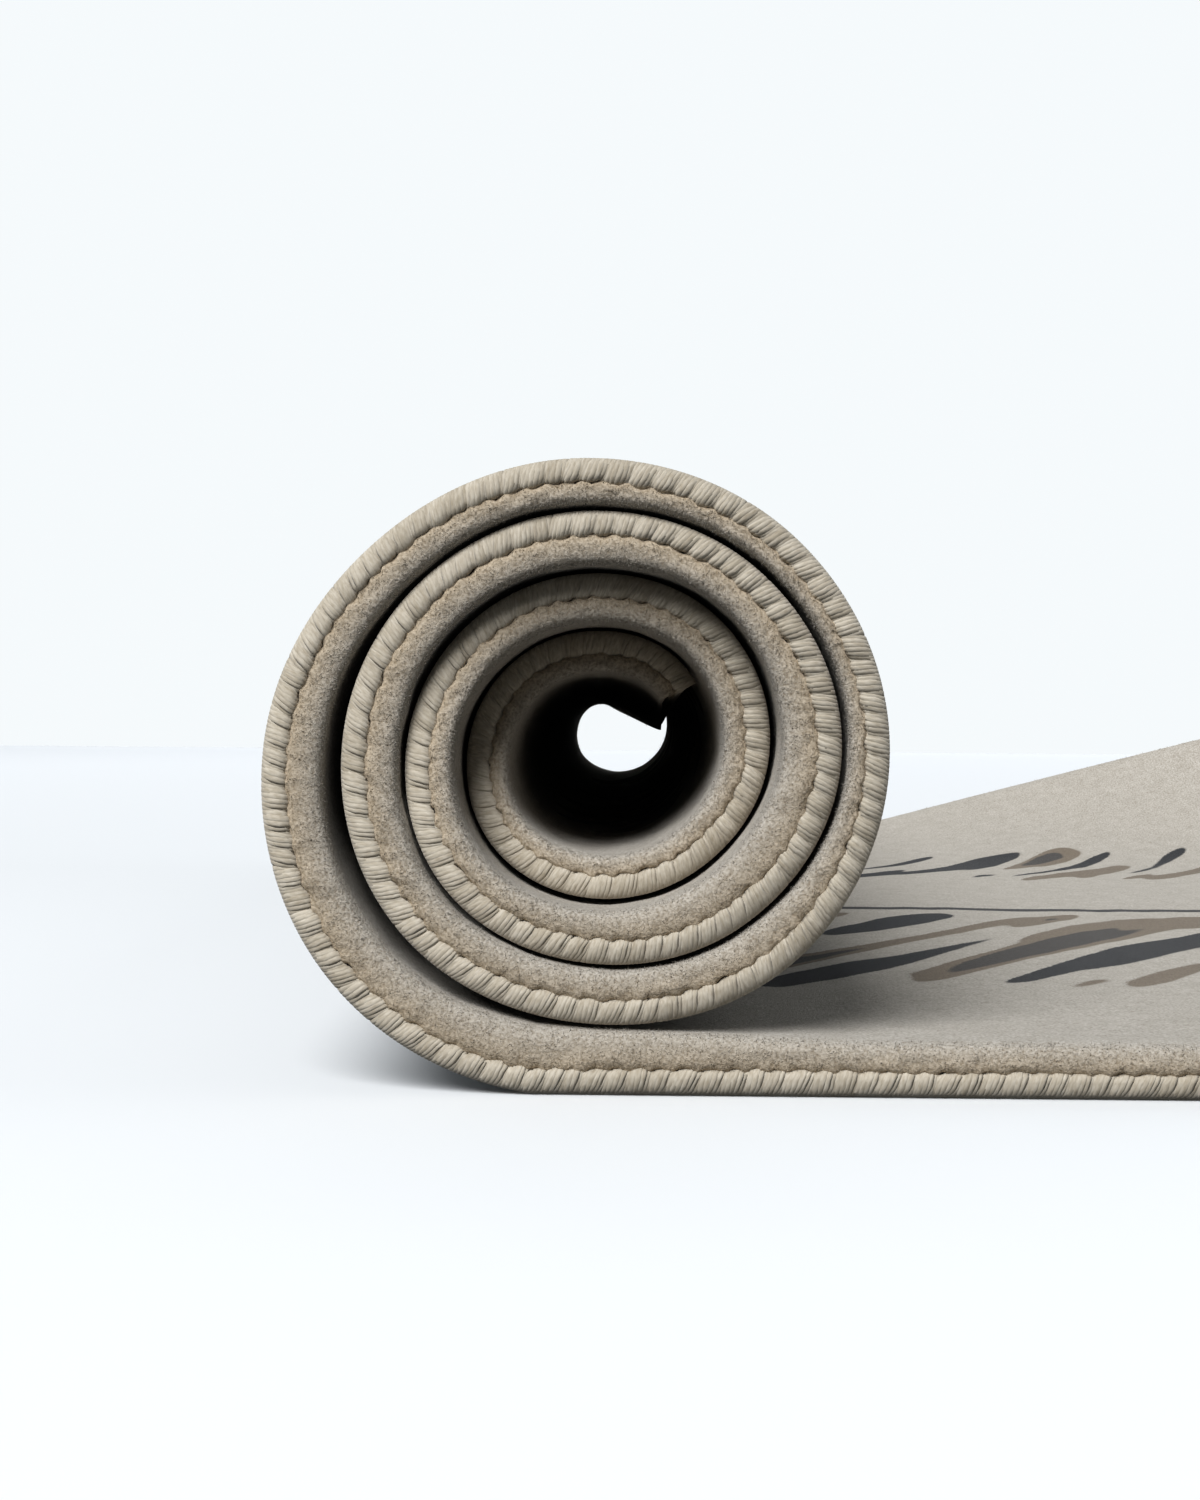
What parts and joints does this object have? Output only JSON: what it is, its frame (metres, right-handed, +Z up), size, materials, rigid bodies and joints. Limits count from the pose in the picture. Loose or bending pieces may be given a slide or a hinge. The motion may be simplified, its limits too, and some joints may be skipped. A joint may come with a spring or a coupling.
{
  "type": "rolled up carpet",
  "caption": "Hand-tufted wool carpet rolled pile inwards into a loose spiral roll, with an overcast yarn edge and its outer stretch lying flat with a curled corner.",
  "frame": {"origin": "on the floor, under the roll's axis, at the middle of the roll's length", "axes": "+Z up from the floor, +Y along the roll from its near end to its far end, +X out along the flat stretch"},
  "size_m": [0.5629, 0.9588, 0.1604],
  "materials": {
    "pile_wool": "dense cut wool pile, matt warm grey with dark and tan strokes inside a plain border",
    "binding_wool": "plied wool yarn, overcast round the edge in slanted bundles"
  },
  "bodies": {
    "root": {"carpet": "pile_wool", "binding_near_edge": "binding_wool", "binding_far_edge": "binding_wool", "binding_outer_end": "binding_wool", "binding_inner_end": "binding_wool"}
  },
  "joints": []
}
